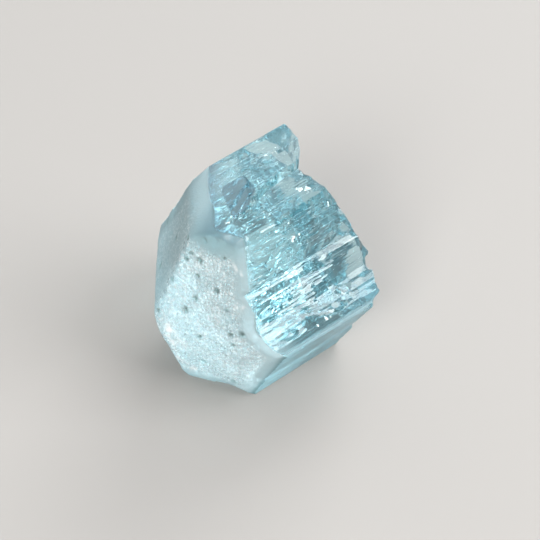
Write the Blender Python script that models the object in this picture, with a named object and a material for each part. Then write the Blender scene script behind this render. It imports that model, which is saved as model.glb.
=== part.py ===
"""A short, thick aquamarine crystal: one solid of clear beryl.

The crystal is a six-sided prism that lies on one of its side faces.  Its long growth
axis runs along X.  The frosted natural end looks to -X, the broken end to +X, and the
near side, which carries an open flute, looks to -Y.  A small column grown side by side
with the main one runs along the top, behind a narrow groove.

Lengths are in millimetres here and become metres when a mesh is made.  While it is cut,
the crystal has its near lower edge on the X axis.  At the end everything is shifted so
that the origin is at the middle of the underside.
"""
import math
import random

import bmesh
import bpy
from mathutils import Matrix, Vector

NODE = "aquamarine_crystal"
MM = 0.001

# Points this close together, in millimetres, are one point, and this close to a
# trimming plane they lie on it.
WELD_GAP = 0.001
SNAP_GAP = 0.0001

# Side faces of the prism: direction of the outward normal, in degrees from +Y towards
# +Z, and the distance of the face from the X axis.  Their order runs round the prism.
SIDE_FACES = {
    "bottom": (270.0, 0.0),
    "near_lower": (210.0, 0.0),
    "near_upper": (150.0, 7.88),
    "top": (90.0, 19.05),
    "far_upper": (30.0, 20.25),
    "far_lower": (330.0, 11.6),
}

# Broad relief of a side face: points of (distance along the face, depth below it).
# The near upper face is hollowed by a flute with a sloping floor and a steep wall.  A
# face that isn't named, the one that the crystal lies on, stays flat.
RELIEF = {
    "near_lower": [(3.1, 0.0), (3.3, 0.18), (5.6, 0.10)],
    "near_upper": [(0.8, 0.8), (1.9, 1.5), (3.0, 1.9), (4.0, 2.1), (5.8, 1.5),
                   (7.3, 0.78), (7.5, 1.0), (9.0, 0.57), (10.9, 0.1)],
    "top": [(3.8, 0.0), (8.7, 0.12)],
    "far_upper": [(3.4, 0.0), (3.6, 0.14), (9.5, 0.1)],
    "far_lower": [(2.2, 0.0), (2.5, 0.35), (6.4, 0.3), (6.7, 0.0)],
}

# Fine growth lines along the prism: their spacing, the depth of their small steps and
# the shallowest one's share of it, the run of a step along the face, how far from a
# corner the lines begin, and the least gap between two points of the outline.
LINE_SPACING = (0.45, 1.15)
LINE_DEPTH = 0.11
LINE_SHALLOWEST = 0.2
LINE_RUN = 0.12
LINE_FADE = 0.9
LINE_CLOSEST = 0.08
LINE_SEED = 7

# The prism is first made longer than the crystal, then trimmed at both ends.  Cutters
# reach this much further than the face that they open.
RAW_FRONT = -12.0
RAW_BACK = 20.0
OVERSHOOT = 2.0

# Faces of the frosted end: outward normal and distance from the frame's corner.
END_FACES = {
    "lower_slope": ((-0.900, -0.380, -0.215), 0.11),
    "main_slope": ((-0.929, -0.310, 0.203), 3.20),
    "left_slope": ((-0.701, 0.624, 0.345), 11.82),
    "top_bevel": ((-0.458, 0.360, 0.813), 17.59),
    "left_lower_slope": ((-0.661, 0.646, -0.382), 6.54),
    "worn_corner": ((-0.624, 0.685, -0.377), 7.25),
    "top_corner_bevel": ((-0.600, -0.120, 0.790), 15.02),
}

# Groove between the main column and the small one, in plan: its near and far banks.
GROOVE_NEAR_BANK = [(0.2, 3.5), (4.8, 4.0), (7.0, 5.0), (8.8, 5.7), (10.8, 6.5), (19.0, 6.6)]
GROOVE_FAR_BANK = [(19.0, 7.1), (10.8, 6.9), (8.0, 6.9), (4.9, 5.6), (1.8, 5.3)]
GROOVE_DEPTH = 0.9

# Seam between the two columns on the far side: a square bar laid edge-on along the face,
# from this X to the broken end, this far down the face from the crystal's top far edge.
SEAM_START = 6.5
SEAM_DROP = 4.3
SEAM_WIDTH = 1.3

# Broken end of the main column: a blunt roof whose ridge runs across the crystal at this
# height and falls away above, below and towards the two sides.
ROOF_X = 15.5
ROOF_MIDDLE = (4.0, 10.6)
ROOF_FALL_UP = 0.42
ROOF_FALL_DOWN = 0.34
ROOF_FALL_SIDE = 0.010

# Shells struck out of the broken end: (y, z) of the middle, the X of its deepest point
# and how fast it rises from there, per square millimetre.
SHELLS = [
    ((-5.0, 6.6), 10.6, 1.200),
    ((-2.6, 14.6), 13.9, 0.240),
    ((7.5, 3.0), 10.9, 0.060),
    ((13.8, 7.0), 11.9, 0.080),
    ((10.5, 12.0), 13.4, 0.120),
    ((4.6, 15.8), 12.6, 0.160),
    ((18.9, 10.5), 12.2, 0.060),
]
RIPPLE_DEPTH = 0.10
RIPPLE_LENGTH = 1.7

# End of the small column: it stands proud of the break inside this part of the section
# and slopes down towards the groove.
COLUMN_NEAR_SIDE = 6.9
COLUMN_UNDERSIDE = 13.2
COLUMN_TIP = (16.1, 12.5)
COLUMN_CURVE = 0.105
COLUMN_LEAN = 0.12

# Spacing and reach of the grid of points that makes the break.
BREAK_STEP = 0.6
BREAK_Y = (-7.0, 21.0)
BREAK_Z = (-3.0, 22.0)

# Flat spall off the corner between the broken end and the near side.
SPALL = ((0.294, -0.813, 0.504), 11.25)

# Chips knocked out of edges: middle and radius.  The seed turns each rough ball.
CHIP_SEED = 3
CHIPS = [
    ((-5.2, 9.9, 5.2), 0.80),
    ((-4.6, 9.2, 3.0), 0.75),
    ((-3.5, 8.0, 0.6), 0.70),
    ((-5.5, 10.3, 7.6), 0.60),
    ((15.8, -2.9, 12.6), 3.30),
    ((14.9, -2.5, 9.9), 0.90),
    ((12.2, 1.1, 19.3), 0.60),
    ((9.6, 13.2, 19.4), 0.55),
    ((12.0, -4.9, 7.9), 0.65),
    ((6.2, -0.4, -0.3), 0.55),
]

# Etch pits on the frosted end: a point on the face that each one sinks into, then their
# radius, how it varies, their depth, their sides, and their floor's share of the radius.
PITS = {
    "main_slope": [(-1.3, 5.3, 17.8), (-1.9, 5.4, 15.3), (-2.5, 5.5, 12.6), (-1.8, 3.3, 12.7),
                   (-3.4, 6.1, 9.5), (-1.9, 1.0, 8.5), (-1.4, 0.2, 9.1), (-0.9, 3.1, 16.5)],
    "left_slope": [(3.1, 16.4, 10.8), (-3.4, 6.5, 15.6), (-0.7, 12.9, 9.5), (-0.4, 10.9, 13.9)],
    "lower_slope": [(-2.8, 4.3, 3.4), (-1.2, 1.7, 1.5), (-3.6, 4.3, 7.0)],
}
PIT_RADIUS = 0.42
PIT_SPREAD = (0.7, 1.25)
PIT_DEPTH = 0.20
PIT_SIDES = 6
PIT_FLOOR_SHARE = 0.15
PIT_SEED = 11

# Finish of the stone.
STONE_COLOUR = (0.62, 0.86, 0.90, 1.0)
STONE_ROUGHNESS = 0.12
STONE_IOR = 1.577


def clear_scene():
    """Start from an empty scene."""
    for obj in list(bpy.data.objects):
        bpy.data.objects.remove(obj, do_unlink=True)


def new_collection(name):
    """Add a collection under the scene's own."""
    collection = bpy.data.collections.new(name)
    bpy.context.scene.collection.children.link(collection)
    return collection


def mesh_object(name, bm, collection):
    """Turn a bmesh in millimetres into an object in metres."""
    bmesh.ops.scale(bm, vec=(MM, MM, MM), verts=bm.verts)
    bmesh.ops.recalc_face_normals(bm, faces=bm.faces)
    mesh = bpy.data.meshes.new(name)
    bm.to_mesh(mesh)
    bm.free()
    obj = bpy.data.objects.new(name, mesh)
    collection.objects.link(obj)
    return obj


def corner(first, second):
    """The corner of the section where two neighbouring side faces meet."""
    (angle_a, reach_a), (angle_b, reach_b) = SIDE_FACES[first], SIDE_FACES[second]
    a, b = math.radians(angle_a), math.radians(angle_b)
    spread = math.sin(b - a)
    y = (reach_a * math.sin(b) - reach_b * math.sin(a)) / spread
    z = (reach_b * math.cos(a) - reach_a * math.cos(b)) / spread
    return Vector((y, z))


def depth_at(relief, length, place):
    """Depth of a face's broad relief at a place along it, read between its points."""
    points = [(0.0, 0.0)] + relief + [(length, 0.0)]
    for (start, start_depth), (end, end_depth) in zip(points, points[1:]):
        if start <= place <= end:
            share = (place - start) / (end - start)
            return start_depth + share * (end_depth - start_depth)
    return 0.0


def side_profile(name, start, end, rng):
    """Points of one side of the section, from its first corner to just before the next."""
    along = end - start
    length = along.length
    along.normalize()
    inward = -Vector((math.cos(math.radians(SIDE_FACES[name][0])),
                      math.sin(math.radians(SIDE_FACES[name][0]))))
    if name not in RELIEF:
        return [start]
    relief = RELIEF[name]
    places = [(place, 0.0) for place, _ in relief]
    line = LINE_FADE
    while line < length - LINE_FADE:
        width = rng.uniform(*LINE_SPACING)
        step = rng.uniform(LINE_SHALLOWEST, 1.0) * LINE_DEPTH
        places.append((line, 0.0))
        places.append((line + LINE_RUN, step))
        line += width
    places.sort()
    spaced = [places[0]]
    for place in places[1:]:
        if place[0] - spaced[-1][0] > LINE_CLOSEST:
            spaced.append(place)
    profile = [start]
    for place, step in spaced:
        depth = depth_at(relief, length, place) + step
        profile.append(start + along * place + inward * depth)
    return profile


def section_points():
    """The whole outline of the prism's section, as (y, z) points in order."""
    rng = random.Random(LINE_SEED)
    names = list(SIDE_FACES)
    points = []
    for index, name in enumerate(names):
        start = corner(names[index - 1], name)
        end = corner(name, names[(index + 1) % len(names)])
        points += side_profile(name, start, end, rng)
    return points


def outline_solid(name, points, low, high, collection):
    """Extrude a closed outline in the XY plane from low to high along Z."""
    curve = bpy.data.curves.new(name, "CURVE")
    curve.dimensions = "2D"
    curve.fill_mode = "BOTH"
    curve.extrude = (high - low) / 2 * MM
    spline = curve.splines.new("POLY")
    spline.points.add(len(points) - 1)
    for target, point in zip(spline.points, points):
        target.co = (point[0] * MM, point[1] * MM, 0.0, 1.0)
    spline.use_cyclic_u = True
    source = bpy.data.objects.new(name, curve)
    collection.objects.link(source)
    source.location.z = (high + low) / 2 * MM
    bpy.context.view_layer.update()
    evaluated = source.evaluated_get(bpy.context.evaluated_depsgraph_get())
    bm = bmesh.new()
    bm.from_mesh(bpy.data.meshes.new_from_object(evaluated))
    bmesh.ops.transform(bm, matrix=source.matrix_world, verts=bm.verts)
    bmesh.ops.scale(bm, vec=(1 / MM, 1 / MM, 1 / MM), verts=bm.verts)
    bmesh.ops.remove_doubles(bm, verts=bm.verts, dist=WELD_GAP)
    bpy.data.objects.remove(source, do_unlink=True)
    return bm


def trim(bm, normal, reach):
    """Cut the solid with a plane, drop what lies outside it and close the cut."""
    normal = Vector(normal).normalized()
    geometry = bm.verts[:] + bm.edges[:] + bm.faces[:]
    cut = bmesh.ops.bisect_plane(bm, geom=geometry, dist=SNAP_GAP, plane_co=normal * reach,
                                 plane_no=normal, clear_outer=True)
    edges = [item for item in cut["geom_cut"] if isinstance(item, bmesh.types.BMEdge)]
    filled = bmesh.ops.edgeloop_fill(bm, edges=edges)
    bmesh.ops.triangulate(bm, faces=filled["faces"])


def crystal_body(collection):
    """The prism with its frosted end, before the break, groove, chips and pits."""
    bm = outline_solid("section", section_points(), RAW_FRONT, RAW_BACK, collection)
    # The outline was drawn in XY: turn it so that its plane is YZ and it runs along X.
    turn = Matrix(((0, 0, 1, 0), (1, 0, 0, 0), (0, 1, 0, 0), (0, 0, 0, 1)))
    bmesh.ops.transform(bm, matrix=turn, verts=bm.verts)
    bmesh.ops.triangulate(bm, faces=bm.faces)
    for normal, reach in [*END_FACES.values(), SPALL]:
        trim(bm, normal, reach)
    return mesh_object(NODE, bm, collection)


def break_height(y, z):
    """X of the broken end at a point of the section."""
    middle_y, middle_z = ROOF_MIDDLE
    fall = ROOF_FALL_UP if z > middle_z else ROOF_FALL_DOWN
    height = ROOF_X - fall * abs(z - middle_z) - ROOF_FALL_SIDE * (y - middle_y) ** 2
    for (shell_y, shell_z), deepest, rise in SHELLS:
        distance = math.hypot(y - shell_y, z - shell_z)
        ripple = RIPPLE_DEPTH * math.cos(2 * math.pi * distance / RIPPLE_LENGTH)
        height = min(height, deepest + rise * distance ** 2 + ripple)
    if y > COLUMN_NEAR_SIDE and z > COLUMN_UNDERSIDE:
        tip_x, tip_y = COLUMN_TIP
        height = tip_x - COLUMN_CURVE * (tip_y - y) ** 2
        height -= COLUMN_LEAN * (SIDE_FACES["top"][1] - z)
    return height


def break_cutter(collection):
    """Everything beyond the broken end: a shaped grid carried back to a flat face."""
    columns = round((BREAK_Y[1] - BREAK_Y[0]) / BREAK_STEP)
    rows = round((BREAK_Z[1] - BREAK_Z[0]) / BREAK_STEP)
    bm = bmesh.new()
    bmesh.ops.create_grid(bm, x_segments=columns, y_segments=rows, size=0.5)
    for vert in bm.verts:
        y = BREAK_Y[0] + (vert.co.x + 0.5) * (BREAK_Y[1] - BREAK_Y[0])
        z = BREAK_Z[0] + (vert.co.y + 0.5) * (BREAK_Z[1] - BREAK_Z[0])
        vert.co = (break_height(y, z), y, z)
    extruded = bmesh.ops.extrude_face_region(bm, geom=bm.faces[:])
    for item in extruded["geom"]:
        if isinstance(item, bmesh.types.BMVert):
            item.co.x = RAW_BACK + OVERSHOOT
    return mesh_object("cut_break", bm, collection)


def groove_cutter(collection):
    """The narrow trench between the two columns."""
    top = SIDE_FACES["top"][1]
    outline = GROOVE_NEAR_BANK + GROOVE_FAR_BANK
    bm = outline_solid("groove", outline, top - GROOVE_DEPTH, top + OVERSHOOT, collection)
    return mesh_object("cut_groove", bm, collection)


def seam_cutter(collection):
    """The notch that parts the small column from the main one on the far side."""
    top_edge = corner("top", "far_upper")
    angle = math.radians(SIDE_FACES["far_upper"][0])
    down = Vector((math.sin(angle), -math.cos(angle)))
    middle = top_edge + down * SEAM_DROP
    length = RAW_BACK - SEAM_START
    bm = bmesh.new()
    bmesh.ops.create_cube(bm, size=1.0)
    bmesh.ops.scale(bm, vec=(length, SEAM_WIDTH, SEAM_WIDTH), verts=bm.verts)
    turn = Matrix.Rotation(angle + math.radians(45), 4, "X")
    place = Matrix.Translation((SEAM_START + length / 2, middle.x, middle.y))
    bmesh.ops.transform(bm, matrix=place @ turn, verts=bm.verts)
    return mesh_object("cut_seam", bm, collection)


def add_chip(bm, middle, radius, rng):
    """One rough ball, turned at random so that its flats strike the edge differently."""
    turn = Matrix.Rotation(rng.uniform(0, math.tau), 4, Vector((1, rng.random(), rng.random())))
    place = Matrix.Translation(middle) @ turn
    bmesh.ops.create_icosphere(bm, subdivisions=1, radius=radius, matrix=place)


def chip_cutter(collection):
    """All the chips, as separate rough balls in one cutter."""
    rng = random.Random(CHIP_SEED)
    bm = bmesh.new()
    for middle, radius in CHIPS:
        add_chip(bm, middle, radius, rng)
    return mesh_object("cut_chips", bm, collection)


def pit_cutter(collection):
    """Six-sided etch pits, each sunk square into its face of the frosted end."""
    rng = random.Random(PIT_SEED)
    bm = bmesh.new()
    for face, places in PITS.items():
        normal, reach = END_FACES[face]
        normal = Vector(normal).normalized()
        for place in places:
            point = Vector(place)
            point += normal * (reach - point.dot(normal))
            radius = PIT_RADIUS * rng.uniform(*PIT_SPREAD)
            turn = normal.to_track_quat("Z", "Y").to_matrix().to_4x4()
            # Half of the cone's height is under the face, so its tip makes the pit's floor.
            matrix = Matrix.Translation(point) @ turn
            bmesh.ops.create_cone(bm, cap_ends=True, segments=PIT_SIDES,
                                  radius1=PIT_FLOOR_SHARE * radius, radius2=2 * radius,
                                  depth=2 * PIT_DEPTH, matrix=matrix)
    return mesh_object("cut_pits", bm, collection)


def cut(target, cutter):
    """Take a cutter out of the crystal with a live Boolean."""
    cutter.hide_render = True
    cutter.display_type = "WIRE"
    modifier = target.modifiers.new(cutter.name, "BOOLEAN")
    modifier.operation = "DIFFERENCE"
    modifier.solver = "EXACT"
    modifier.object = cutter


def stone_material():
    """Clear pale blue-green stone."""
    material = bpy.data.materials.new("aquamarine")
    material.use_nodes = True
    shader = material.node_tree.nodes["Principled BSDF"]
    shader.inputs["Base Color"].default_value = STONE_COLOUR
    shader.inputs["Roughness"].default_value = STONE_ROUGHNESS
    shader.inputs["Metallic"].default_value = 0.0
    shader.inputs["IOR"].default_value = STONE_IOR
    shader.inputs["Transmission Weight"].default_value = 1.0
    return material


def stand_on_origin(crystal, cutters, collection):
    """Shift the crystal and its cutters so that the origin is under its middle."""
    bpy.context.view_layer.update()
    evaluated = crystal.evaluated_get(bpy.context.evaluated_depsgraph_get())
    corners = [Vector(point) for point in evaluated.bound_box]
    middle = sum(corners, Vector()) / len(corners)
    middle.z = min(point.z for point in corners)
    holder = bpy.data.objects.new("crystal_frame", None)
    collection.objects.link(holder)
    holder.location = -middle
    for obj in [crystal] + cutters:
        obj.parent = holder


def main():
    clear_scene()
    collection = new_collection(NODE)
    cutter_collection = new_collection("cutters")
    crystal = crystal_body(collection)
    crystal.data.materials.append(stone_material())
    cutters = [
        break_cutter(cutter_collection),
        groove_cutter(cutter_collection),
        seam_cutter(cutter_collection),
        chip_cutter(cutter_collection),
        pit_cutter(cutter_collection),
    ]
    for cutter in cutters:
        cut(crystal, cutter)
    stand_on_origin(crystal, cutters, collection)


main()
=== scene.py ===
"""The looks of the aquamarine crystal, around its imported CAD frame.

The CAD solid is faceted and plain.  Here it is replaced by one finely modelled closed
mesh with the same faces: growth lines along the sides, a frosted and pitted natural end,
a rough groove and a glassy, shell-like break.  All of it is one clear stone.

Lengths in the modelling part are millimetres in the crystal's own frame, the one that
part.py uses: its growth axis is X and its near lower edge lies on the X axis.
"""
import math
import random

import bmesh
import bpy
import numpy as np
from mathutils import Matrix, Quaternion, Vector, noise


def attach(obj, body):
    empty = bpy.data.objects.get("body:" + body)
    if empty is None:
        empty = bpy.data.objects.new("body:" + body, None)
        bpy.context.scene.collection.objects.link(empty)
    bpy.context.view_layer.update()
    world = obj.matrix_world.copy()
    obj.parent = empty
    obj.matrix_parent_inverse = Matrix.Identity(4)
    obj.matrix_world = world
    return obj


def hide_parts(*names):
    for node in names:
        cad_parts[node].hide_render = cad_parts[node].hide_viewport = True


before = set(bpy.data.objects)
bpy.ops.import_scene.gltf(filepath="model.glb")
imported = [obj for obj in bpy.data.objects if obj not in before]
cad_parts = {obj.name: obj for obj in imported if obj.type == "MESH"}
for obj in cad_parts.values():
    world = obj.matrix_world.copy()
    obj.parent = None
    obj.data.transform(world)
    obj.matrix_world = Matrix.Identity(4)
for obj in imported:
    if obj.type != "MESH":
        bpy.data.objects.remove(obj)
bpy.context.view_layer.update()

NODE = "aquamarine_crystal"
MM = 0.001

# Where the crystal's own frame lies: its origin seen from the middle of the underside.
SHIFT = Vector((-5.546, -6.9195, 0.0))

# Side faces of the prism: direction of the outward normal, in degrees from +Y towards
# +Z, and distance from the X axis.  Their order runs round the prism.
SIDE_FACES = {
    "bottom": (270.0, 0.0),
    "near_lower": (210.0, 0.0),
    "near_upper": (150.0, 7.88),
    "top": (90.0, 19.05),
    "far_upper": (30.0, 20.25),
    "far_lower": (330.0, 11.6),
}

# Broad relief of a side face: points of (distance along the face, depth below it).
RELIEF = {
    "bottom": [(1.2, 0.0), (1.5, 0.12), (4.0, 0.10), (4.2, 0.0), (9.2, 0.0), (9.5, 0.14)],
    "near_lower": [(3.1, 0.0), (3.3, 0.18), (5.6, 0.10)],
    "near_upper": [(0.8, 0.8), (1.9, 1.5), (2.8, 1.66), (7.1, 1.86), (7.4, 1.05),
                   (9.0, 0.66), (12.2, 0.0)],
    "top": [(3.8, 0.0), (8.7, 0.12)],
    "far_upper": [(3.4, 0.0), (3.6, 0.14), (9.5, 0.1)],
    "far_lower": [(2.2, 0.0), (2.5, 0.35), (6.4, 0.3), (6.7, 0.0)],
}

# The flute of the near side twists along the axis: its middle (along the axis, across the
# face), its reach to both sides, and its twist in front of the middle and behind it.
FLUTE_MIDDLE = (7.0, 4.9)
FLUTE_REACH = 2.4
FLUTE_TWIST = (0.028, 0.050)

# Growth lines: place of the first, how close to the next corner the last band begins and
# ends, a band's width, greatest depth and tilt, width of the riser between bands, the fade
# towards the prism's edges, depth of the broad swells, how strong all this is on the
# underside, and the spacing of the points along the axis.
LINE_SEED = 21
LINE_START = 0.12
LINE_STOP = 0.2
LINE_END = 0.1
BAND_WIDTH = (0.05, 0.26)
BAND_DEPTH = 0.065
BAND_TILT = 0.10
RISER = 0.022
EDGE_FADE = 0.5
SWELL_DEPTH = 0.09
UNDERSIDE_SHARE = 0.35
STATION_STEP = 0.36

# The lines of the top begin behind the slanting frosted end: the slant of that border
# against Y, how far in front of it they begin, and the length over which they do.
TOP_LINES = (0.43, 0.8, 1.5)

# Coarse growth ridges of the sides that face away: least and greatest width, and how
# steep their flanks are.
RIDGES = {
    "bottom": (0.7, 1.5, 0.50),
    "far_upper": (0.6, 1.6, 0.40),
    "far_lower": (0.6, 1.4, 0.80),
}

# Where the ridges begin across a face, the x from which and the length over which they
# grow, and the least share of their depth.
RIDGE_SEED = 8
RIDGE_START = 1.4
RIDGE_FRONT = 1.0
RIDGE_FADE = 3.0
RIDGE_LEAST = 0.15

# Noise over a side face: its mean, its swing, and how fast it changes along the axis and
# across the face.
LINE_GATE = (0.45, 2.6, 0.42, 1.0)
LINE_CALM = (0.9, 1.4, 0.10, 0.33)
SWELLS = (0.5, 0.5, 0.13, 0.22)
RIDGE_GROWTH = (0.75, 1.1, 0.17, 0.4)
WIDE_WANDER = (0.0, 1.2, 0.28, 1.0)
FINE_WANDER = (0.0, 0.36, 0.9, 0.3)

# Ends of the uncut prism.
TUBE_FRONT = -7.0
TUBE_BACK = 18.0

# Faces of the frosted end: outward normal, distance from the frame's corner, how coarse
# the frosting is, from 0 for a smooth worn face to 1 for full sugar, and its painted shade:
# how light it leaves the face for the way light falls there, from 0 darkest to 1 unshaded.
END_FACES = {
    "lower_slope": ((-0.900, -0.380, -0.215), 0.11, 1.0, 1.0),
    "main_slope": ((-0.929, -0.310, 0.203), 3.20, 1.0, 1.0),
    "left_slope": ((-0.701, 0.624, 0.345), 11.82, 0.60, 0.28),
    "top_bevel": ((-0.458, 0.360, 0.813), 17.59, 0.75, 0.90),
    "left_lower_slope": ((-0.661, 0.646, -0.382), 6.54, 0.40, 0.2),
    "worn_corner": ((-0.624, 0.685, -0.377), 7.25, 0.30, 0.2),
    "top_corner_bevel": ((-0.600, -0.120, 0.790), 15.02, 0.40, 0.4),
}

# Height grids of the two ends: reach over the section and spacing.
GRID_Y = (-5.2, 19.0)
GRID_Z = (-0.6, 19.7)
FROSTED_STEP = 0.12
BROKEN_STEP = 0.16


def corner(first, second):
    """The corner of the section where two neighbouring side faces meet."""
    (angle_a, reach_a), (angle_b, reach_b) = SIDE_FACES[first], SIDE_FACES[second]
    a, b = math.radians(angle_a), math.radians(angle_b)
    spread = math.sin(b - a)
    y = (reach_a * math.sin(b) - reach_b * math.sin(a)) / spread
    z = (reach_b * math.cos(a) - reach_a * math.cos(b)) / spread
    return np.array((y, z))


def side_ends(name):
    """First and last corner of a side face's stretch of the section."""
    names = list(SIDE_FACES)
    index = names.index(name)
    return corner(names[index - 1], name), corner(name, names[(index + 1) % len(names)])


def smooth_noise(x, y, z):
    """Blender's gradient noise at one point, about -1 to 1."""
    return noise.noise(Vector((x, y, z)))


def field(function, *grids):
    """Evaluate a function of plain numbers over numpy grids."""
    return np.vectorize(function, otypes=[float])(*grids)


def noise_over(settings, first, second):
    """Noise over two grids; its settings are how fast it changes, and its seed."""
    pace, seed = settings
    return field(lambda a, b: smooth_noise(a * pace, b * pace, seed), first, second)


def noise_in(pace, x, y, z):
    """Noise at points in space; the pace is how fast it changes."""
    return field(lambda a, b, c: smooth_noise(a * pace, b * pace, c * pace), x, y, z)


def varied(settings, x, place, seed):
    """A number that noise varies over a side face."""
    mean, swing, along, across = settings
    return mean + swing * smooth_noise(x * along, place * across, seed)


def clamp(value, low, high):
    """A plain number, kept between two limits."""
    return min(max(value, low), high)


def ramp(values, start, end):
    """0 up to the start, 1 from the end on, and a straight rise in between."""
    return np.clip((values - start) / (end - start), 0.0, 1.0)


# ---- the striated prism

def side_samples(name, rng):
    """Bands along a side: list of (place from its first corner, depth, seed)."""
    start, end = side_ends(name)
    length = float(np.linalg.norm(end - start))
    samples = [(0.0, 0.0, 0.0)]
    place = LINE_START
    while place < length - LINE_STOP:
        width = min(rng.uniform(*BAND_WIDTH), length - LINE_END - place)
        depth = BAND_DEPTH * rng.random() ** 1.5
        tilt = rng.uniform(-BAND_TILT, BAND_TILT) * width
        seed = rng.uniform(0.0, 100.0)
        samples.append((place, max(depth - tilt, 0.0), seed))
        samples.append((place + width - RISER, max(depth + tilt, 0.0), seed))
        place += width
    return start, end, length, samples


def ridge_profile(name, length, rng):
    """Coarse ridges along a side: places from its first corner, and depths."""
    if name not in RIDGES:
        return [0.0, length], [0.0, 0.0]
    narrow, wide, steepness = RIDGES[name]
    places, depths = [0.0], [0.0]
    place = RIDGE_START
    while place < length - wide:
        width = rng.uniform(narrow, wide)
        valley = place + width * rng.uniform(0.3, 0.7)
        places += [place, valley]
        depths += [0.0, steepness * width / 2]
        place += width
    return places + [place, length], depths + [0.0, 0.0]


def ridge_relief(side, x, place, ridges):
    """Depth of a side's coarse ridges at one point; they wander and fade along the axis."""
    shifted = place + varied(WIDE_WANDER, x, 3.0 + side, 17.0)
    shifted += varied(FINE_WANDER, x, place, 27.0 + side)
    growth = max(varied(RIDGE_GROWTH, x, place, 40.0 + side), RIDGE_LEAST)
    share = clamp(min(growth, (x - RIDGE_FRONT) / RIDGE_FADE), 0.0, 1.0)
    return share * float(np.interp(shifted, *ridges))


def flute_twist(name, x, place):
    """Height that the twist of the flute adds at one point of the near upper side."""
    if name != "near_upper":
        return 0.0
    across = place - FLUTE_MIDDLE[1]
    across *= max(0.0, 1.0 - (across / FLUTE_REACH) ** 4)
    away = x - FLUTE_MIDDLE[0]
    return across * FLUTE_TWIST[int(away > 0)] * abs(away)


def line_relief(name, side, x, y, place, depth, seed):
    """Depth of a side's growth lines and broad swells at one point."""
    gate = clamp(varied(LINE_GATE, x, seed, 3.0), 0.0, 1.0)
    calm = clamp(varied(LINE_CALM, x, place, 11.0 * side), 0.2, 1.3)
    if name == "top":
        slant, ahead, length = TOP_LINES
        calm *= clamp((x - slant * y + ahead) / length, 0.1, 1.0)
    swell = SWELL_DEPTH * varied(SWELLS, x, place, 5.0 + 7.0 * side)
    strength = UNDERSIDE_SHARE if name == "bottom" else 1.0
    return strength * (depth * gate * calm + swell)


def build_tube():
    """The prism with its growth lines, longer than the crystal at both ends."""
    rng = random.Random(LINE_SEED)
    ridge_rng = random.Random(RIDGE_SEED)
    stations = np.arange(TUBE_FRONT, TUBE_BACK + 0.01, STATION_STEP)
    columns = []
    for side, name in enumerate(SIDE_FACES):
        start, end, length, samples = side_samples(name, rng)
        along = (end - start) / length
        angle = math.radians(SIDE_FACES[name][0])
        inward = -np.array((math.cos(angle), math.sin(angle)))
        relief_at, relief_depth = zip((0.0, 0.0), *RELIEF[name], (length, 0.0))
        ridges = ridge_profile(name, length, ridge_rng)
        for place, depth, seed in samples:
            base = start + along * place
            broad = float(np.interp(place, relief_at, relief_depth))
            fade = min(1.0, place / EDGE_FADE, (length - place) / EDGE_FADE)
            for x in stations:
                relief = line_relief(name, side, x, base[0], place, depth, seed)
                relief += ridge_relief(side, x, place, ridges)
                relief -= flute_twist(name, x, place)
                y, z = base + inward * (broad + fade * relief)
                columns.append((x, y, z))
    rows = len(stations)
    count = len(columns) // rows
    faces = []
    for k in range(count):
        near, far = k * rows, ((k + 1) % count) * rows
        for j in range(rows - 1):
            faces.append((near + j, near + j + 1, far + j + 1, far + j))
    faces.append([k * rows for k in range(count)])
    faces.append([k * rows + rows - 1 for k in reversed(range(count))])
    outline = np.array([columns[k * rows][1:] for k in range(count)])
    return np.array(columns), faces, outline


def outline_distance(outline, y, z):
    """Distance from points of the section to its outline."""
    points = np.stack([y.ravel(), z.ravel()], 1)
    best = np.full(len(points), 1e9)
    ends = np.roll(outline, -1, axis=0)
    for a, b in zip(outline, ends):
        edge = b - a
        length = float(edge @ edge)
        if length < 1e-12:
            continue
        share = np.clip(((points - a) @ edge) / length, 0.0, 1.0)
        gap = points - (a + share[:, None] * edge)
        best = np.minimum(best, (gap * gap).sum(1))
    return np.sqrt(best).reshape(y.shape)


def grid_axes(first_range, second_range, step):
    """The two axes of a height grid."""
    first = np.arange(first_range[0], first_range[1] + 1e-6, step)
    second = np.arange(second_range[0], second_range[1] + 1e-6, step)
    return np.meshgrid(first, second, indexing="ij")


def height_solid(first, second, height, wall, up=0):
    """A closed solid between a height field along one axis and a plane across that axis."""
    rows, columns = first.shape
    index = np.arange(rows * columns).reshape(rows, columns)
    flat_points = np.stack([first.ravel(), second.ravel()], 1)
    field_points = np.insert(flat_points, up, height.ravel(), axis=1)
    rim = [*index[:, 0], *index[-1, 1:], *index[-2::-1, -1], *index[0, -2:0:-1]]
    rim_points = field_points[rim].copy()
    rim_points[:, up] = wall
    points = np.concatenate([field_points, rim_points])
    rim_start = rows * columns
    a, b = index[:-1, :-1].ravel(), index[1:, :-1].ravel()
    c, d = index[1:, 1:].ravel(), index[:-1, 1:].ravel()
    faces = [tuple(int(v) for v in face) for face in [*zip(a, b, c), *zip(a, c, d)]]
    count = len(rim)
    for k in range(count):
        following = (k + 1) % count
        low, high = rim_start + k, rim_start + following
        faces.append((int(rim[k]), low, high, int(rim[following])))
    faces.append([rim_start + k for k in range(count)])
    return points, faces


# ---- the frosted end

# Softness of the edges between the end's faces, and the width over which their coarseness
# and painted shade blend.
EDGE_SOFTNESS = 0.26
FACE_BLEND = 0.55

# The frosting's tiny pyramids: spacing, number of cells before they repeat, and height.
SUGAR_CELL = 0.34
SUGAR_COUNT = 96
SUGAR_SEED = 5
SUGAR_HEIGHT = 0.13

# The smooth, clearer corner below the groove's front end: middle (y, z), radii, and the
# shares of the radii between which it fades.
WORN_MIDDLE = (4.3, 18.7)
WORN_RADII = (3.0, 2.0)
WORN_FADE = (1.45, 0.55)

# The worn rim: distances from the prism's edge between which the frosting coarsens, and
# the rounding's width, its swing and its depth.
RIM_FADE = (0.3, 1.6)
ROUNDING = (0.85, 0.45)
ROUNDING_DEPTH = 0.55

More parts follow.
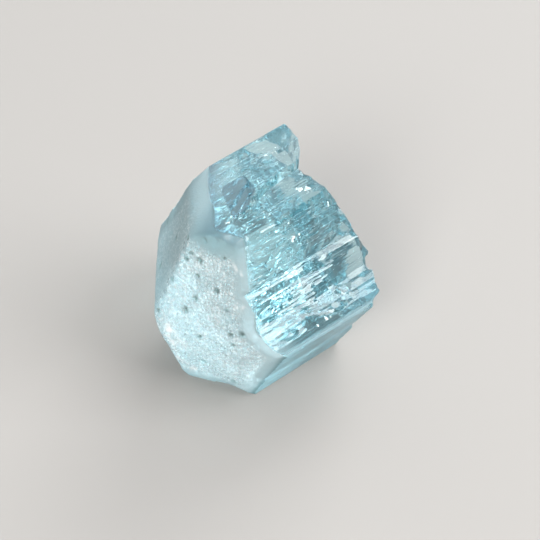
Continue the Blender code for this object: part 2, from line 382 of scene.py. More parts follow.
# Unevenness of the end: heights, and its noises.
WAVE_HEIGHT = 0.07
BUMP_HEIGHT = 0.05
END_WAVES = (0.35, 1.7)
END_BUMPS = (1.1, 9.2)
END_PATCHES = (0.6, 52.0)


def end_planes(y, z):
    """X of every face of the frosted end over the section."""
    sheets = []
    for normal, reach, _, _ in END_FACES.values():
        n = np.array(normal) / np.linalg.norm(normal)
        sheets.append((reach - n[1] * y - n[2] * z) / n[0])
    return np.stack(sheets)


def end_surface(y, z):
    """X of the frosted end's flat faces, without their roughness."""
    return end_planes(y, z).max(0)


def face_value(y, z, which):
    """Coarseness (2) or painted-shade lightness (3) of the end's faces, blended at their edges.
    """
    sheets = end_planes(y, z)
    weights = np.exp((sheets - sheets.max(0)) / FACE_BLEND)
    values = np.array([face[which] for face in END_FACES.values()])
    return np.tensordot(values, weights, 1) / weights.sum(0)


def sugar_height(y, z):
    """Tiny random pyramids packed side by side, as etching leaves them; about 0 to 1."""
    rng = np.random.default_rng(SUGAR_SEED)
    shift_y, shift_z, turn, peak, steep = rng.random((5, SUGAR_COUNT, SUGAR_COUNT))
    cell_y = np.floor(y / SUGAR_CELL).astype(int)
    cell_z = np.floor(z / SUGAR_CELL).astype(int)
    best = np.full(y.shape, -9.0)
    for step_y in (-1, 0, 1):
        for step_z in (-1, 0, 1):
            row, column = cell_y + step_y, cell_z + step_z
            key = (row % SUGAR_COUNT, column % SUGAR_COUNT)
            away_y = y / SUGAR_CELL - row - shift_y[key]
            away_z = z / SUGAR_CELL - column - shift_z[key]
            angle = turn[key] * math.pi
            first = away_y * np.cos(angle) + away_z * np.sin(angle)
            second = away_z * np.cos(angle) - away_y * np.sin(angle)
            reach = np.maximum(np.abs(first), np.abs(second))
            best = np.maximum(best, 0.55 * peak[key] - (0.5 + 0.9 * steep[key]) * reach)
    return best + 0.9


def worn_corner(y, z):
    """1 in the middle of the smooth, clearer corner below the groove's front end, else 0."""
    gap = np.hypot((y - WORN_MIDDLE[0]) / WORN_RADII[0], (z - WORN_MIDDLE[1]) / WORN_RADII[1])
    return ramp(gap, *WORN_FADE)


def coarseness(y, z, edge_distance):
    """How coarse the frosting is, 0 to 1: it fades along the worn rim and the top corner."""
    rim = ramp(edge_distance, *RIM_FADE)
    return 0.05 + 0.95 * rim * face_value(y, z, 2) * (1.0 - worn_corner(y, z))


def frosted_height(y, z, edge_distance):
    """X of the frosted end: flat faces, worn edges, frosting and pits."""
    sheets = end_planes(y, z)
    top = sheets.max(0)
    height = top + EDGE_SOFTNESS * np.log(np.exp((sheets - top) / EDGE_SOFTNESS).sum(0))
    waves = noise_over(END_WAVES, y, z)
    bumps = noise_over(END_BUMPS, y, z)
    patches = np.clip(0.75 + 0.9 * noise_over(END_PATCHES, y, z), 0.2, 1.0)
    height += WAVE_HEIGHT * (waves + 0.6) + BUMP_HEIGHT * (bumps + 0.5)
    coarse = coarseness(y, z, edge_distance) * patches
    height += coarse * SUGAR_HEIGHT * sugar_height(y, z)
    rounding = ROUNDING[0] + ROUNDING[1] * waves
    height += np.maximum(0.0, rounding - edge_distance) ** 1.5 * ROUNDING_DEPTH
    for pit_y, pit_z, radius in PIT_LIST:
        gap = np.hypot(y - pit_y, z - pit_z) / radius
        height += PIT_DEPTH * np.maximum(0.0, 1.0 - gap)
    return height


# Etch pits of the frosted end: place over the section (y, z) and radius.
PIT_DEPTH = 0.20
PIT_LIST = [
    (5.4, 17.7, 0.36), (5.6, 15.3, 0.42), (5.5, 13.6, 0.28), (3.4, 12.6, 0.38), (6.2, 9.4, 0.44),
    (1.1, 8.5, 0.32), (0.0, 9.0, 0.42), (3.1, 16.5, 0.26), (16.4, 10.8, 0.42), (6.6, 15.7, 0.30),
    (12.9, 9.5, 0.34), (10.9, 13.9, 0.36), (4.4, 3.3, 0.40), (1.7, 1.5, 0.30), (4.3, 7.0, 0.34),
    (8.1, 12.2, 0.30), (9.0, 8.2, 0.26), (2.0, 11.0, 0.24), (14.4, 7.6, 0.30), (7.4, 17.0, 0.24),
    (15.8, 11.4, 0.34), (7.0, 14.9, 0.34), (1.3, 8.4, 0.30), (0.9, 7.3, 0.30), (5.4, 11.0, 0.36),
]


# ---- the broken end

# The break's roof-like outline: x of its middle, the middle itself (y, z), and how it
# falls above the middle, below it and to the sides.
ROOF_X = 15.5
ROOF_MIDDLE = (4.0, 10.6)
ROOF_FALL_UP = 0.42
ROOF_FALL_DOWN = 0.34
ROOF_FALL_SIDE = 0.010

# Shell-shaped hollows of the break: deepest point (y, z), its x, and how fast it rises.
SHELLS = [
    ((-5.0, 6.6), 10.6, 1.200),
    ((-2.6, 14.6), 13.9, 0.240),
    ((7.5, 3.0), 10.9, 0.060),
    ((13.8, 7.0), 11.9, 0.080),
    ((10.5, 12.0), 13.4, 0.120),
    ((4.6, 15.8), 12.6, 0.160),
    ((18.9, 10.5), 12.2, 0.060),
]
# How much the shells waver, height and spacing of their ripples, and the spall at the
# near end: how much it waves, its outward normal and its distance.
SHELL_WAVER = 0.9
RIPPLE_HEIGHT = 0.05
RIPPLE_SPACING = 0.62
SPALL_WAVER = 0.25
SPALL = ((0.294, -0.813, 0.504), 11.25)

# Smaller hollows: number, ranges of y and z, bite and curvature.
SMALL_SHELLS = 26
SHELL_SEED = 4
SHELL_Y = (1.0, 17.5)
SHELL_Z = (0.5, 17.0)
SHELL_BITE = (0.2, 0.7)
SHELL_CURVE = (0.12, 0.5)

# The small column's end: near side (y), underside (z), tip (x, y), and how it curves and
# leans away from the tip.
COLUMN_NEAR_SIDE = 6.9
COLUMN_UNDERSIDE = 13.2
COLUMN_TIP = (16.05, 12.5)
COLUMN_CURVE = 0.105
COLUMN_LEAN = 0.12

# Noises of the break.
BREAK_WAVES = (0.4, 7.7)
BREAK_CHIPS = (1.6, 2.2)
BREAK_CALM = (0.23, 31.0)


def small_shells():
    """Smaller hollows scattered over the break: (y, z), bite and curvature."""
    rng = random.Random(SHELL_SEED)
    shells = []
    for _ in range(SMALL_SHELLS):
        place = (rng.uniform(*SHELL_Y), rng.uniform(*SHELL_Z))
        shells.append((place, rng.uniform(*SHELL_BITE), rng.uniform(*SHELL_CURVE)))
    return shells


def column_end(y, z, waves):
    """X of the small column's broken end."""
    tip_x, tip_y = COLUMN_TIP
    column = tip_x - COLUMN_CURVE * (tip_y - y) ** 2
    column -= COLUMN_LEAN * (SIDE_FACES["top"][1] - z)
    return column - (0.12 * (waves + 0.5) + 0.04 * np.cos(4.2 * y + 2.0 * waves))


def broken_height(y, z, edge_distance):
    """X of the broken end: shells with ripples, a spall and the small column's end."""
    middle_y, middle_z = ROOF_MIDDLE
    fall = np.where(z > middle_z, ROOF_FALL_UP, ROOF_FALL_DOWN)
    height = ROOF_X - fall * np.abs(z - middle_z) - ROOF_FALL_SIDE * (y - middle_y) ** 2
    waves = noise_over(BREAK_WAVES, y, z)
    chips = noise_over(BREAK_CHIPS, y, z)
    calm = np.clip(0.3 + 1.6 * noise_over(BREAK_CALM, y, z), 0, 1)
    height -= 0.15 * (waves + 0.5)
    for (shell_y, shell_z), deepest, rise in SHELLS:
        distance = np.hypot(y - shell_y, z - shell_z)
        distance = np.abs(distance + SHELL_WAVER * waves)
        ripple = np.cos(2 * math.pi * distance ** 0.8 / RIPPLE_SPACING)
        ripple = RIPPLE_HEIGHT * calm * ripple
        height = np.minimum(height, deepest + rise * distance ** 2 + ripple)
    normal, reach = SPALL
    spall = (reach - normal[1] * y - normal[2] * z) / normal[0]
    height = np.minimum(height, spall + SPALL_WAVER * waves)
    base = height.copy()
    for (shell_y, shell_z), bite, curve in small_shells():
        row = np.abs(y[:, 0] - shell_y).argmin()
        column_index = np.abs(z[0] - shell_z).argmin()
        floor_x = base[row, column_index] - bite
        gap = (y - shell_y) ** 2 + (z - shell_z) ** 2
        height = np.minimum(height, floor_x + curve * gap)
    inside = (y > COLUMN_NEAR_SIDE) & (z > COLUMN_UNDERSIDE)
    height = np.where(inside, column_end(y, z, waves), height)
    nibbles = np.maximum(0.0, 0.15 + 0.6 * chips - edge_distance)
    return height - 0.6 * nibbles


# ---- the groove on top

# Banks of the jogged groove between the two columns, as (x, y) along the top face.
GROOVE_NEAR_BANK = [(-1.0, 4.3), (1.5, 4.4), (3.5, 4.6), (6.3, 5.4), (9.3, 6.0),
                    (12.4, 6.4), (19.0, 6.6)]
GROOVE_FAR_BANK = [(-1.0, 4.9), (1.5, 5.1), (4.4, 5.6), (6.5, 6.4), (8.8, 6.9),
                   (11.9, 7.2), (19.0, 7.3)]

# Its depth, the stretch of x over which it deepens, how much its banks waver, its least
# half width, how rough its floor is, and how far it clears the face beside it.
GROOVE_DEPTH = 0.9
GROOVE_FRONT = (0.6, 3.6)
GROOVE_WAVER = 0.18
GROOVE_LEAST_HALF = 0.12
GROOVE_ROUGHNESS = 0.35
GROOVE_CLEAR = 0.6
GROOVE_LIFT = 0.02

# The deep seam that it becomes: the stretch of x over which it drops, and its depth.
SEAM_STRETCH = (6.5, 15.5)
SEAM_DROP = 4.3

# Its height grid and noises.
GROOVE_X = (-0.5, 17.6)
GROOVE_Y = (2.6, 8.0)
GROOVE_STEP = 0.13
BANK_NOISE = (0.9, 15.0)
FLOOR_NOISE = (2.6, 25.0)


def groove_height(x, y):
    """Z of the groove's rough floor over the top face, clear above it elsewhere."""
    near = np.interp(x, *zip(*GROOVE_NEAR_BANK))
    far = np.interp(x, *zip(*GROOVE_FAR_BANK))
    middle = (near + far) / 2
    half = (far - near) / 2 + GROOVE_WAVER * noise_over(BANK_NOISE, x, y)
    across = 1.0 - np.abs(y - middle) / np.maximum(half, GROOVE_LEAST_HALF)
    depth = GROOVE_DEPTH * ramp(x, *GROOVE_FRONT)
    depth += ramp(x, *SEAM_STRETCH) * (SEAM_DROP - GROOVE_DEPTH)
    rough = 1.0 + GROOVE_ROUGHNESS * noise_over(FLOOR_NOISE, x, y)
    profile = np.clip(across, -GROOVE_CLEAR, 1.0)
    return SIDE_FACES["top"][1] - depth * profile * rough + GROOVE_LIFT


# ---- cutting it all out

# Every face remembers the cut that made it, by the slot of a stand-in material.
CUT_MATERIALS = [bpy.data.materials.new(f"cut_{index}") for index in range(5)]
# The window slot marks the facet whose colour gets painted shade, the dark window.
SIDE, FROSTED, BROKEN, GROOVE, SHADED_WINDOW_FACET = range(5)

# How far the cutters reach past the prism's ends and above its top.
CUTTER_MARGIN = 2.0
CUTTER_TOP = 24.0


def mesh_object(name, points, faces, slot_index):
    """A mesh object in metres whose faces all carry one material slot index."""
    mesh = bpy.data.meshes.new(name)
    mesh.from_pydata([tuple(p) for p in (np.asarray(points) * MM)], [], faces)
    for cut_material in CUT_MATERIALS:
        mesh.materials.append(cut_material)
    slots = np.full(len(mesh.polygons), slot_index, np.int32)
    mesh.polygons.foreach_set("material_index", slots)
    bm = bmesh.new()
    bm.from_mesh(mesh)
    bmesh.ops.recalc_face_normals(bm, faces=bm.faces)
    bm.to_mesh(mesh)
    bm.free()
    obj = bpy.data.objects.new(name, mesh)
    bpy.context.scene.collection.objects.link(obj)
    return obj


def cut(target, cutter):
    """Take a cutter out of the target for good."""
    modifier = target.modifiers.new("cut", "BOOLEAN")
    modifier.operation = "DIFFERENCE"
    modifier.solver = "MANIFOLD"
    modifier.object = cutter
    depsgraph = bpy.context.evaluated_depsgraph_get()
    result = bpy.data.meshes.new_from_object(target.evaluated_get(depsgraph))
    target.modifiers.clear()
    old = target.data
    target.data = result
    bpy.data.meshes.remove(old)
    bpy.data.objects.remove(cutter, do_unlink=True)


# Chips: middle of a knock on an edge, and its reach along the three axes.
CHIPS = [
    ((15.8, -2.9, 12.6), (3.3, 3.3, 3.3)), ((14.9, -2.5, 9.9), (0.9, 0.9, 0.9)),
    ((12.2, 1.1, 19.3), (0.6, 0.6, 0.6)), ((9.6, 13.2, 19.4), (0.6, 0.5, 0.5)),
    ((12.0, -4.9, 7.9), (0.8, 0.6, 0.6)), ((6.2, -0.4, -0.3), (0.6, 0.5, 0.5)),
    ((-5.2, 9.9, 5.2), (0.8, 0.8, 0.8)), ((-4.6, 9.2, 3.0), (0.7, 0.8, 0.7)),
    ((-3.5, 8.0, 0.6), (0.7, 0.7, 0.7)), ((-5.5, 10.3, 7.6), (0.6, 0.6, 0.6)),
    ((-4.9, 8.6, 4.1), (0.5, 0.7, 0.6)), ((-4.4, 7.9, 1.9), (0.6, 0.6, 0.5)),
    ((2.3, -3.1, 9.0), (1.7, 0.8, 0.9)), ((5.4, -3.2, 8.9), (1.5, 1.1, 0.8)),
    ((5.9, -2.2, 9.9), (2.2, 0.7, 1.0)), ((8.9, -3.1, 8.9), (1.9, 0.8, 0.8)),
    ((7.4, -5.0, 8.3), (1.6, 0.8, 0.7)), ((3.1, -5.0, 8.0), (1.3, 0.7, 0.6)),
    ((10.6, -2.3, 9.8), (1.6, 0.9, 1.1)), ((4.9, -5.0, 7.3), (0.9, 0.5, 0.6)),
    ((13.1, 0.9, 16.6), (0.9, 0.9, 0.9)), ((10.9, 3.2, 19.8), (1.6, 0.9, 1.0)),
    ((16.3, 12.3, 19.4), (0.7, 0.7, 0.7)),
    ((15.0, -1.2, 9.7), (0.8, 0.8, 0.8)), ((11.6, 5.2, 19.6), (0.9, 0.7, 0.8)),
    ((13.9, 0.2, 13.6), (0.6, 0.7, 0.8)), ((9.4, -0.3, 15.0), (1.6, 0.7, 0.35)),
    ((6.9, -0.5, 12.4), (1.4, 0.6, 0.3)), ((3.6, -0.9, 12.9), (1.2, 0.6, 0.25)),
    ((12.4, 9.6, 19.6), (1.4, 0.8, 0.8)),
]
CHIP_LUMPS = 0.26


def chip_cutter(index, middle, radii):
    """A lumpy stone with flat facets that takes an angular bite."""
    bm = bmesh.new()
    bmesh.ops.create_icosphere(bm, subdivisions=2, radius=1.0)
    points = []
    for vert in bm.verts:
        lump = noise.noise(vert.co * 1.5 + Vector((index * 3.7, 0, 0)))
        lump += 0.6 * noise.noise(vert.co * 3.4 + Vector((0, index * 2.9, 0)))
        reach = 1.0 + CHIP_LUMPS * lump
        points.append(tuple(m + r * reach * c for m, r, c in zip(middle, radii, vert.co)))
    faces = [[vert.index for vert in face.verts] for face in bm.faces]
    bm.free()
    return points, faces


# Small flat nicks: the way they face, half length, half width as a share of that, height
# of the cutter, how far they stray and turn, and the stretches of edge that bear them, as
# start, end and number.
NICK_FACING = (-0.604, -0.509, 0.616)
NICK_SIZE = (0.08, 0.30)
NICK_SHAPE = (0.4, 0.8)
NICK_HEIGHT = 2.5
NICK_STRAY = 0.2
NICK_TURN = 0.12
NICK_SEED = 12
NICK_ROWS = [
    ((9.6, 4.3, 18.95), (10.6, 1.9, 18.95), 5), ((11.8, 3.8, 18.2), (11.9, 0.9, 16.9), 3),
    ((4.0, 5.2, 18.6), (11.0, 6.9, 18.9), 7), ((6.2, 0.8, 16.2), (9.0, 0.8, 16.4), 4),
    ((5.0, 1.4, 17.8), (9.0, 1.4, 18.2), 3), ((8.8, 9.6, 19.0), (13.0, 10.4, 19.0), 4),
    ((5.0, -3.4, 8.1), (11.0, -3.2, 8.3), 5),
]


def nick_cutter(middle, reach, turn):
    """A turned box that leaves one small flat facet, facing the upper left."""
    facing = Vector(NICK_FACING).normalized()
    facing.rotate(Quaternion((0, 0, 1), turn))
    frame_turn = facing.to_track_quat("Z", "X").to_matrix()
    frame_turn = frame_turn @ Matrix.Rotation(3.0 * turn + 0.4, 3, "Z")
    long, short = reach
    box = [(x, y, z) for z in (0.0, NICK_HEIGHT) for x, y in
           ((-long, -short), (long, -short), (long, short), (-long, short))]
    points = [tuple(Vector(middle) + frame_turn @ Vector(box_corner)) for box_corner in box]
    faces = [(0, 1, 2, 3), (4, 5, 6, 7), (0, 1, 5, 4), (1, 2, 6, 5), (2, 3, 7, 6), (3, 0, 4, 7)]
    return points, faces


def nicks():
    """Nick cutters strewn along their stretches."""
    rng = random.Random(NICK_SEED)
    stray = (-NICK_STRAY, NICK_STRAY)
    shapes = []
    for start, end, count in NICK_ROWS:
        for _ in range(count):
            place = Vector(start).lerp(Vector(end), rng.random())
            place += Vector((rng.uniform(*stray), rng.uniform(*stray), 0.0))
            long = rng.uniform(*NICK_SIZE)
            reach = (long, long * rng.uniform(*NICK_SHAPE))
            shapes.append(nick_cutter(place, reach, rng.uniform(-NICK_TURN, NICK_TURN)))
    return shapes


# The facet at the foot of the small column, the dark window, whose darkness is painted
# shade in the stone's colour: its outline on the top face, its height at the hinge, the
# hinge's y, and its slope.
FACET_OUTLINE = [(4.0, 8.7), (6.4, 10.4), (7.2, 8.8), (6.6, 6.7), (4.4, 5.4), (2.1, 5.0)]
FACET_TOP = 19.1
FACET_HINGE = 9.6
FACET_SLOPE = 0.46


def facet_cutter():
    """A prism over the sloping facet at the foot of the small column."""
    points = [(x, y, FACET_TOP - FACET_SLOPE * (FACET_HINGE - y)) for x, y in FACET_OUTLINE]
    points += [(x, y, CUTTER_TOP) for x, y in FACET_OUTLINE]
    count = len(FACET_OUTLINE)
    faces = [list(range(count)), list(range(count, 2 * count))]
    for k in range(count):
        following = (k + 1) % count
        faces.append([k, following, count + following, count + k])
    return points, faces


def boxes_apart(first, second):
    """Whether two boxes, each a low and a high corner, leave each other free."""
    return (first[0] > second[1]).any() or (first[1] < second[0]).any()


def apart(cutters):
    """Cutters sorted into batches in which no two boxes overlap."""
    batches = []
    for points, faces in cutters:
        box = (np.min(points, 0), np.max(points, 0))
        for boxes, batch in batches:
            if all(boxes_apart(box, other) for other in boxes):
                break
        else:
            boxes, batch = [], []
            batches.append((boxes, batch))
        boxes.append(box)
        batch.append((points, faces))
    return [batch for boxes, batch in batches]


def joined(shapes):
    """One list of points and one of faces for several shapes."""
    points, faces = [], []
    for shape_points, shape_faces in shapes:
        faces += [[index + len(points) for index in face] for face in shape_faces]
        points += list(shape_points)
    return points, faces


def build_crystal():
    """The whole crystal as one closed mesh object, in metres, in its own frame."""
    points, faces, outline = build_tube()
    crystal = mesh_object("crystal", points, faces, SIDE)
    y, z = grid_axes(GRID_Y, GRID_Z, FROSTED_STEP)
    heights = frosted_height(y, z, outline_distance(outline, y, z))
    front = height_solid(y, z, heights, TUBE_FRONT - CUTTER_MARGIN)
    cut(crystal, mesh_object("front", *front, FROSTED))
    y, z = grid_axes(GRID_Y, GRID_Z, BROKEN_STEP)
    heights = broken_height(y, z, outline_distance(outline, y, z))
    back = height_solid(y, z, heights, TUBE_BACK + CUTTER_MARGIN)
    cut(crystal, mesh_object("back", *back, BROKEN))
    x, y = grid_axes(GROOVE_X, GROOVE_Y, GROOVE_STEP)
    groove = height_solid(x, y, groove_height(x, y), CUTTER_TOP, up=2)
    cut(crystal, mesh_object("groove", *groove, GROOVE))
    cut(crystal, mesh_object("facet", *facet_cutter(), SHADED_WINDOW_FACET))
    for batch in apart(nicks()):
        cut(crystal, mesh_object("nicks", *joined(batch), BROKEN))
    chips = [chip_cutter(index, *chip) for index, chip in enumerate(CHIPS)]
    for batch in apart(chips):
        cut(crystal, mesh_object("chips", *joined(batch), BROKEN))
    return crystal, outline


# ---- masks for the looks

# The haze on the sides behind the frosted end: heights between which the top's and the
# ledge's values set in, its width and what varies it (noise, the top and its part per
# millimetre of y, the ledge), and its strength.
HAZE_TOP = (17.0, 18.5)
HAZE_LEDGE = (10.4, 8.9)
HAZE_WIDTH = (0.9, 0.4, 0.4, 0.32, 1.6)
HAZE_STRENGTH = 0.5
HAZE_LESS_ON_TOP = 0.32
HAZE_LESS_ON_LEDGE = 0.1
HAZE_WANDER = (0.6, 71.0)
FLECK_PACE = 1.1
FLECK_STRENGTH = 0.3

# How much thinner the worn corner's frosting is, and down to what depth behind the end.
WORN_THINNER = 0.3
WORN_BEHIND = 0.6

# The undercut near lower side is satin: how frosted, the distances from its plane between
# which that sets in, the y where it stops, and how far behind the end its painted shade begins.
SATIN = 0.7
SATIN_FADE = (0.48, 0.18)
SATIN_Y = 0.4
SATIN_SHADE_BEHIND = 0.2

# Painted shade on the top behind the frosted end, the greyer zone: its width, gain per
# millimetre of y and uneven part, where it begins behind the end, and the heights between
# which it sets in.
SHADOW_WIDTH = (0.6, 0.22, 0.5)
SHADOW_BEHIND = 0.05
SHADOW_TOP = (17.6, 18.6)
SHADOW_WANDER = (0.7, 61.0)

# Painted shade on the frosting of the top: heights and distances behind the end between
# which it sets in, and how much darker the worn corner is.
SHADE_TOP = (17.5, 18.5)
SHADE_BEHIND = (0.45, 0.85)
WORN_DARKER = 0.6

# How deep behind the end sparkle, pits and worn shading reach, and the coarseness below
# which the end counts as worn.
SUGAR_BEHIND = 1.5
PIT_BEHIND = 0.8
WORN_EDGE_BEHIND = 0.9
WORN_BELOW = 0.4

# Shares of a pit's or a bruise's radius between which its mask fades, and how fast the
# bruises' crumbs change.
PIT_FADE = (1.25, 0.25)
CHALK_FADE = (1.3, 0.3)
CRUMB_PACE = 1.9

# Chalky bruises along edges: start, end and reach.
CHALK = [
    ((-4.5, 7.5, 6.6), (-4.3, 7.2, 4.7), 0.45), ((-4.3, 7.2, 4.7), (-3.7, 7.0, 2.4), 0.40),
    ((-4.5, 7.5, 6.9), (-3.9, 6.1, 4.9), 0.50), ((-3.6, 6.9, 2.7), (-2.9, 5.6, 1.6), 0.45),
    ((-0.9, 2.2, 16.4), (-0.3, 1.2, 15.4), 0.35), ((-1.2, 0.4, 12.4), (-0.6, 0.2, 11.6), 0.30),
]


def read_all(items, name, kind=float, width=1):
    """One property of all vertices, edges or the like, as a flat array."""
    values = np.zeros(len(items) * width, kind)
    items.foreach_get(name, values)
    return values


def section_places(mesh):
    """Every vertex in the crystal's own frame, in millimetres."""
    return read_all(mesh.vertices, "co", width=3).reshape(-1, 3) / MM - np.array(SHIFT)


def kind_share(kinds, corners, kind):
    """The share of one kind among the faces around each vertex."""
    return np.bincount(corners, np.repeat(kinds == kind, 3)) / np.bincount(corners)


def satin_mask(y, z):
    """1 on the satin near lower side, which undercuts the crystal, 0 elsewhere."""
    angle = math.radians(SIDE_FACES["near_lower"][0])
    below = -(y * math.cos(angle) + z * math.sin(angle))
    return ramp(below, *SATIN_FADE) * (y < SATIN_Y)


def frost_mask(places, behind, kinds, corners):
    """How frosted each vertex is: the end, a haze behind it, and the satin side."""
    frost = kind_share(kinds, corners, FROSTED)
    side = np.clip(2.0 * kind_share(kinds, corners, SIDE), 0.0, 1.0)
    x, y, z = places.T
    frost *= 1.0 - WORN_THINNER * worn_corner(y, z) * (behind < WORN_BEHIND)
    on_top = ramp(z, *HAZE_TOP)
    on_ledge = ramp(z, *HAZE_LEDGE)
    width, uneven, top_width, top_growth, ledge_width = HAZE_WIDTH
    width = width + uneven * noise_over(HAZE_WANDER, y, z) + on_ledge * ledge_width
    width += on_top * (top_width + top_growth * np.clip(y - 1.0, 0, 9))
    flecks = FLECK_STRENGTH * noise_in(FLECK_PACE, x, y, z) * (behind > 0.2)
    fading = np.clip(1.25 - behind / width + flecks, 0.0, 1.0) * (behind < 1.3 * width)
    strength = HAZE_STRENGTH - HAZE_LESS_ON_LEDGE * on_ledge - HAZE_LESS_ON_TOP * on_top
    return np.maximum.reduce([frost, strength * fading * side, SATIN * satin_mask(y, z) * side])


def sugar_mask(places, behind, outline):
    """Where the frosting sparkles, by its bump and roughness and by painted glints: not along its
    smooth worn rim.
    """
    mask = np.zeros(len(places))
    front = behind < SUGAR_BEHIND
    _, y, z = places[front].T
    mask[front] = coarseness(y, z, outline_distance(outline, y, z))
    return mask


def painted_shade_mask(places, behind, kinds, corners):
    """Painted shade: 1 on the dark window, and part of it on the greyer zone between it and the
    end.
    """
    x, y, z = places.T
    width, growth, uneven = SHADOW_WIDTH
    reach = width + growth * np.clip(y - 1.0, 0, 8) + uneven * noise_over(SHADOW_WANDER, x, y)
    zone = np.clip(1.3 - behind / reach, 0.0, 1.0) * (behind > SHADOW_BEHIND)
    painted_shade = np.zeros(len(x))
    painted_shade[corners] = np.repeat(kinds == SHADED_WINDOW_FACET, 3)
    return np.maximum(painted_shade, zone * ramp(z, *SHADOW_TOP))


def pit_shade_mask(places, behind):
    """Painted shade in the etch pits: 1 in the middle of each pit, 0 outside."""
    _, y, z = places.T
    mask = np.zeros(len(places))
    for pit_y, pit_z, radius in PIT_LIST:
        gap = np.hypot(y - pit_y, z - pit_z) / radius
        mask = np.maximum(mask, ramp(gap, *PIT_FADE))
    return mask * (behind < PIT_BEHIND)


def chalk_mask(places):
    """1 on the bruised, chalky stretches of the edges, 0 elsewhere."""
    mask = np.zeros(len(places))
    for start, end, radius in CHALK:
        start, along = np.array(start), np.array(end) - np.array(start)
        share = np.clip((places - start) @ along / (along @ along), 0.0, 1.0)
        gap = np.linalg.norm(places - start - share[:, None] * along, axis=1) / radius
        mask = np.maximum(mask, ramp(gap, *CHALK_FADE))
    near = mask > 0
    crumbs = noise_in(CRUMB_PACE, *places[near].T)
    mask[near] *= np.clip(0.5 + 2.2 * crumbs, 0.0, 1.0)
    return mask


def painted_lightness_mask(places, behind):
    """How light the frosting's colour is: painted shade by face, on the top and on the satin
    side, and a darker worn corner.
    """
    _, y, z = places.T
    worn = WORN_DARKER * worn_corner(y, z)
    shade = ramp(z, *SHADE_TOP) * ramp(behind, *SHADE_BEHIND)
    satin_shade = satin_mask(y, z) * (behind > SATIN_SHADE_BEHIND)
    return face_value(y, z, 3) * (1.0 - worn) * (1.0 - shade) * (1.0 - satin_shade)


def soften_worn_edges(mesh, behind, coarse):
    """Shade the worn rim of the frosted end smoothly, and keep the sugar's edges crisp."""
    ends = read_all(mesh.edges, "vertices", np.int32, 2)
    worn = (behind < WORN_EDGE_BEHIND) & (coarse < WORN_BELOW)
    worn = worn[ends.reshape(-1, 2)].all(1)
    sharp = mesh.attributes.get("sharp_edge").data
    sharp.foreach_set("value", read_all(sharp, "value", bool) & ~worn)


def drop_flaps(bm):
    """Remove pairs of triangles that lie back to back on the same three corners."""
    owners = {}
    for face in bm.faces:
        owners.setdefault(frozenset(face.verts), []).append(face)
    flaps = [face for pair in owners.values() if len(pair) > 1 for face in pair]
    bmesh.ops.delete(bm, geom=flaps, context="FACES")


# Edges that bend more than this, in degrees, are shaded crisp.
SHARP_ANGLE = 4.0


def finish_mesh(crystal, outline):
    """Triangles, smooth shading with crisp edges, and masks for the material."""
    mesh = crystal.data
    bm = bmesh.new()
    bm.from_mesh(mesh)
    bmesh.ops.triangulate(bm, faces=bm.faces)
    drop_flaps(bm)
    bmesh.ops.translate(bm, vec=SHIFT * MM, verts=bm.verts)
    for face in bm.faces:
        face.smooth = True
    bm.to_mesh(mesh)
    bm.free()
    mesh.set_sharp_from_angle(angle=math.radians(SHARP_ANGLE))
    places = section_places(mesh)
    behind = places[:, 0] - end_surface(*places.T[1:])
    sugar = sugar_mask(places, behind, outline)
    soften_worn_edges(mesh, behind, sugar)
    kinds = read_all(mesh.polygons, "material_index", np.int32)
    corners = read_all(mesh.loops, "vertex_index", np.int32)
    masks = {
        "frost": frost_mask(places, behind, kinds, corners),
        "pit_shade": pit_shade_mask(places, behind),
        "chalk": chalk_mask(places),
        "painted_shade": painted_shade_mask(places, behind, kinds, corners),
        "sugar": sugar,
        "painted_lightness": painted_lightness_mask(places, behind),
    }
    for name, values in masks.items():
        attribute = mesh.attributes.new(name, "FLOAT", "POINT")
        attribute.data.foreach_set("value", values.astype(np.float32))


# ---- the stone's material

# Refraction and absorption of the stone, and its roughness where it is clear, where it is
# worn, and over the cells of its frosting.
STONE_IOR = 1.577
ABSORPTION_COLOUR = (0.45, 0.845, 0.905)
ABSORPTION_DENSITY = 32.0
CLEAR_ROUGHNESS = 0.03
WORN_ROUGHNESS = 0.55
SPECK_ROUGHNESS = (0.14, 0.42)

# Share of light let through where the stone is fully frosted or chalky.
FROST_CLEARNESS = 0.45
CHALK_CLEARNESS = 0.25

# Colours: the clear stone and the painted shade of its dark window, the frosting's clouds,
# its worn parts and its painted shade, its painted glints (white specks), the painted shade
# of its pits, and the bruises.
CLEAR_COLOUR = (0.66, 0.895, 0.95)
PAINTED_WINDOW_SHADE = (0.24, 0.34, 0.43)
FROST_DARK = (0.47, 0.57, 0.60)
FROST_PALE = (0.60, 0.68, 0.70)
WORN_COLOUR = (0.44, 0.55, 0.58)
PAINTED_SHADE_FROST = (0.12, 0.235, 0.265)
PAINTED_GLINT_COLOUR = (0.96, 0.99, 1.0)
PIT_SHADE_COLOUR = (0.10, 0.15, 0.14)
CHALK_COLOUR = (0.93, 0.96, 0.97)

# Painted glints, white specks in the frosting's colour: cells per metre, the values between
# which a cell becomes one, the distances from its middle between which it fades, and its
# bump in metres.
SPECK_SCALE = 4300.0
SPECK_CHOICE = (0.60, 0.64)
SPECK_SIZE = (0.46, 0.62)
SPECK_BUMP = 0.00006

# Clouds in the frosting: how many per metre, and the noise values that they span.
CLOUD_SCALE = 420.0
CLOUD_DETAIL = 3.0
CLOUD_SPAN = (0.35, 0.65)

# Strength of the painted glints from the darkest to the palest cloud, and the coarseness
# between which they set in.
GLINT_IN_CLOUD = (0.55, 1.0)
GLINT_IN_SUGAR = (0.45, 0.85)


